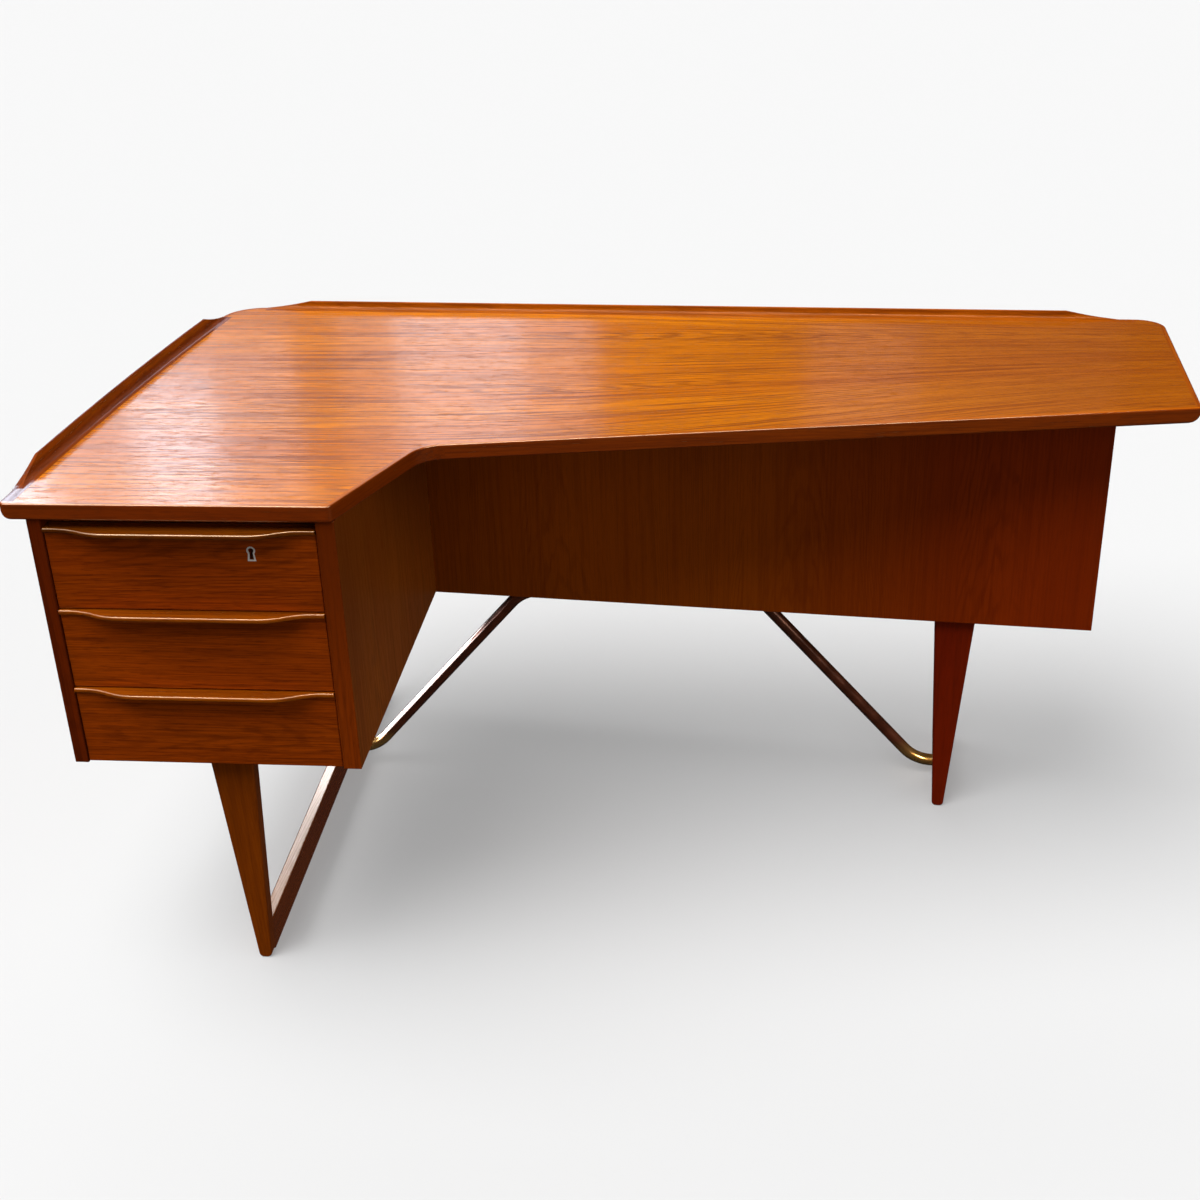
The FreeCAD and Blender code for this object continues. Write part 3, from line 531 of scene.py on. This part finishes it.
def near(name):
    """The trees of the nodes that a node meets."""
    low, high = boxes[name]
    return [trees[other] for other, (a, b) in boxes.items() if other != name
            and all(a[i] < high[i] + touch_gap and b[i] > low[i] - touch_gap for i in range(3))]


def eased(name, width):
    """Stands in for a CAD node with its free arrises rounded; those that meet a neighbour stay sharp."""
    node = nodes[name]
    shape = bmesh.new()
    shape.from_mesh(node.data)
    bmesh.ops.remove_doubles(shape, verts=shape.verts, dist=merge_gap)
    bmesh.ops.dissolve_limit(shape, angle_limit=flat_angle, use_dissolve_boundaries=False, verts=shape.verts,
                             edges=shape.edges)
    around = near(name)
    weight = shape.edges.layers.float.new("bevel_weight_edge")
    for edge in shape.edges:
        middle = (edge.verts[0].co + edge.verts[1].co) / 2
        if (len(edge.link_faces) == 2 and edge.calc_face_angle_signed(0) > arris_angle
                and all(tree.find_nearest(middle, touch_gap)[0] is None for tree in around)):
            edge[weight] = 1.0
    for face in shape.faces:
        face.smooth = True
    mesh = bpy.data.meshes.new(name + ".eased")
    shape.to_mesh(mesh)
    shape.free()
    if "custom_normal" in mesh.attributes:
        mesh.attributes.remove(mesh.attributes["custom_normal"])
    mesh.set_sharp_from_angle(angle=crease_angle)
    piece = bpy.data.objects.new(name + ".eased", mesh)
    scene.collection.objects.link(piece)
    rounding = piece.modifiers.new("rounding", "BEVEL")
    rounding.limit_method = "WEIGHT"
    rounding.width = width
    rounding.segments = round_steps
    rounding.face_strength_mode = "FSTR_ALL"
    flats = piece.modifiers.new("flats", "WEIGHTED_NORMAL")
    flats.use_face_influence = True
    flats.keep_sharp = True
    mesh.materials.append(node.data.materials[0])
    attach(piece, node["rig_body"])
    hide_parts(name)
    return piece


pieces = {name: eased(name, width) for width, names in easing.items() for name in names}


# Floor and light

floor_size = 120
floor_tone = 0.50
floor_roughness = 0.9
floor_glow = 0.26
room_to_lacquer, room_to_eye = 0.02, 0.945

# Broad lights: name, strength, spread, azimuth, elevation and whether they gleam, the angles in degrees
suns = (
    ("overhead", 4.0, 60, -66, 64, True),
    ("side_fill", 1.2, 70, 72, 6, False),
    ("front_fill", 0.22, 70, 8, 5, False),
    ("back_fill", 1.1, 70, 200, 18, False),
)

# Panes: left, right, low, high and radiance
window_line = 4.0
panes = (
    (-3.60, -2.95, 2.45, 3.4, 9.0),
    (-2.95, -2.52, 2.10, 3.2, 2.1),
    (-2.52, -2.14, 2.05, 3.2, 5.0),
    (-2.14, -1.77, 1.85, 3.2, 1.4),
    (-1.77, -1.57, 1.60, 3.2, 0.16),
    (-1.57, -1.33, 1.50, 3.2, 0.7),
    (-1.33, -0.80, 1.50, 3.2, 1.9),
    (-0.80, -0.50, 1.50, 3.2, 0.9),
    (0.36, 0.80, 1.78, 3.2, 0.28),
    (0.80, 1.60, 1.78, 3.2, 0.07),
)
runner_pane = (-3.4, -0.8, 1.9, 4.2, 14.0)
side_pane = (-3.3, 3.3, 0.15, 1.35, 20.0)
side_place = (-4.5, 0.45, 0.75)
glint_pane = (-0.35, 0.35, -0.35, 0.35, 30.0)
glint_place = (1.75, -1.70, 1.25)
right_bend = (0.43, 0.13, 0.042)
strip_pane = (-1.6, 1.6, -0.25, 0.25, 22.0)
strip_place = (-0.2, -0.6, 2.7)

daylight = (0.62, 0.82, 1.0)
white = (1.0, 1.0, 1.0)
runner_white = (1.0, 0.97, 0.94)
strip_white = (1.0, 0.93, 0.82)
glint_gold = (1.0, 0.9, 0.7)


def pale_floor():
    bpy.ops.mesh.primitive_plane_add(size=floor_size)
    floor = bpy.context.object
    floor.name = "floor"
    finish = Finish("pale_floor")
    finish.set(Base_Color=(floor_tone, floor_tone, floor_tone, 1), Roughness=floor_roughness,
               Specular_IOR_Level=0.0, Emission_Color=(1, 1, 1, 1), Emission_Strength=floor_glow)
    floor.data.materials.append(finish.material)
    floor.visible_glossy = False
    floor.visible_diffuse = False


def sun(name, strength, spread, azimuth, elevation, shine):
    """A distant broad light; azimuth is measured from the sitter's side towards the right."""
    lamp = bpy.data.lights.new(name, "SUN")
    lamp.energy = strength
    lamp.angle = math.radians(spread)
    holder = bpy.data.objects.new(name, lamp)
    scene.collection.objects.link(holder)
    a, e = math.radians(azimuth), math.radians(elevation)
    towards = Vector((math.sin(a) * math.cos(e), -math.cos(a) * math.cos(e), math.sin(e)))
    holder.rotation_euler = towards.to_track_quat("Z", "Y").to_euler()
    holder.visible_glossy = shine


def window(name, pane, colour):
    """A pane of light behind the desk, seen only as a soft reflection in the lacquer and the brass."""
    left, right, low, high, radiance = pane
    lamp = bpy.data.lights.new(name, "AREA")
    lamp.shape = "RECTANGLE"
    lamp.size, lamp.size_y = right - left, high - low
    lamp.energy = radiance * math.pi * lamp.size * lamp.size_y
    lamp.color = colour
    holder = bpy.data.objects.new(name, lamp)
    scene.collection.objects.link(holder)
    holder.location = ((left + right) / 2, window_line, (low + high) / 2)
    holder.rotation_euler = (math.radians(90), 0, math.radians(180))
    holder.visible_camera = False
    holder.visible_diffuse = False
    return holder


def stand(lamp, place, way):
    """Moves a pane to a place, with its face turned along a way."""
    lamp.location = place
    lamp.rotation_euler = Vector(way).to_track_quat("-Z", "Y").to_euler()


def reach_only(lamp, name, past_others=False):
    """Keeps a lamp's light to one piece, shaded by the others or past them."""
    lit = bpy.data.collections.new(lamp.name + "_reach")
    lit.objects.link(pieces[name])
    lamp.light_linking.receiver_collection = lit
    if past_others:
        lamp.light_linking.blocker_collection = lit


def room():
    """Pale all round to the eye, but dark to the lacquer, so that the fronts keep their depth."""
    world = bpy.data.worlds.new("studio")
    scene.world = world
    world.use_nodes = True
    tree = world.node_tree
    background = tree.nodes["Background"]
    seen = tree.nodes.new("ShaderNodeLightPath")
    level = tree.nodes.new("ShaderNodeMapRange")
    level.inputs["To Min"].default_value = room_to_lacquer
    level.inputs["To Max"].default_value = room_to_eye
    tree.links.new(seen.outputs["Is Camera Ray"], level.inputs["Value"])
    tree.links.new(level.outputs[0], background.inputs["Strength"])
    background.inputs["Color"].default_value = (1, 1, 1, 1)
    scene.view_settings.view_transform = "Standard"


def lamps():
    """The broad lights, the windows behind the desk, and the panes that give single pieces their gleam."""
    for settings in suns:
        sun(*settings)
    for number, pane in enumerate(panes):
        window(f"window_{number}", pane, daylight)
    side = window("side_window", side_pane, white)
    stand(side, side_place, (1, 0, 0))
    reach_only(side, "stretcher_tube")
    glint = window("bend_glint", glint_pane, glint_gold)
    stand(glint, glint_place, Vector(right_bend) - Vector(glint_place))
    reach_only(glint, "stretcher_tube", past_others=True)
    runner = window("runner_window", runner_pane, runner_white)
    reach_only(runner, "left_frame_runner", past_others=True)
    strip = window("ceiling_strip", strip_pane, strip_white)
    strip.location = strip_place
    strip.rotation_euler = (0, 0, 0)


# Camera, solved on the photograph's corners; angles in radians

lens_length = 47.56
sensor_width = 36.0
camera_place = (0.15404, -2.21580, 1.50446)
camera_heading = 0.10743
camera_dip = 0.46069
camera_roll = -0.033


def camera():
    """The photograph's viewpoint: where it stands, and how it is turned, pitched and rolled."""
    lens = bpy.data.cameras.new("viewpoint")
    lens.sensor_width = sensor_width
    lens.lens = lens_length
    holder = bpy.data.objects.new("viewpoint", lens)
    scene.collection.objects.link(holder)
    heading = Matrix.Rotation(camera_heading, 4, "Z")
    pitch = Matrix.Rotation(math.pi / 2 - camera_dip, 4, "X")
    roll = Matrix.Rotation(camera_roll, 4, "Z")
    holder.matrix_world = Matrix.Translation(camera_place) @ heading @ pitch @ roll
    scene.camera = holder


pale_floor()
room()
lamps()
camera()

bpy.context.view_layer.update()
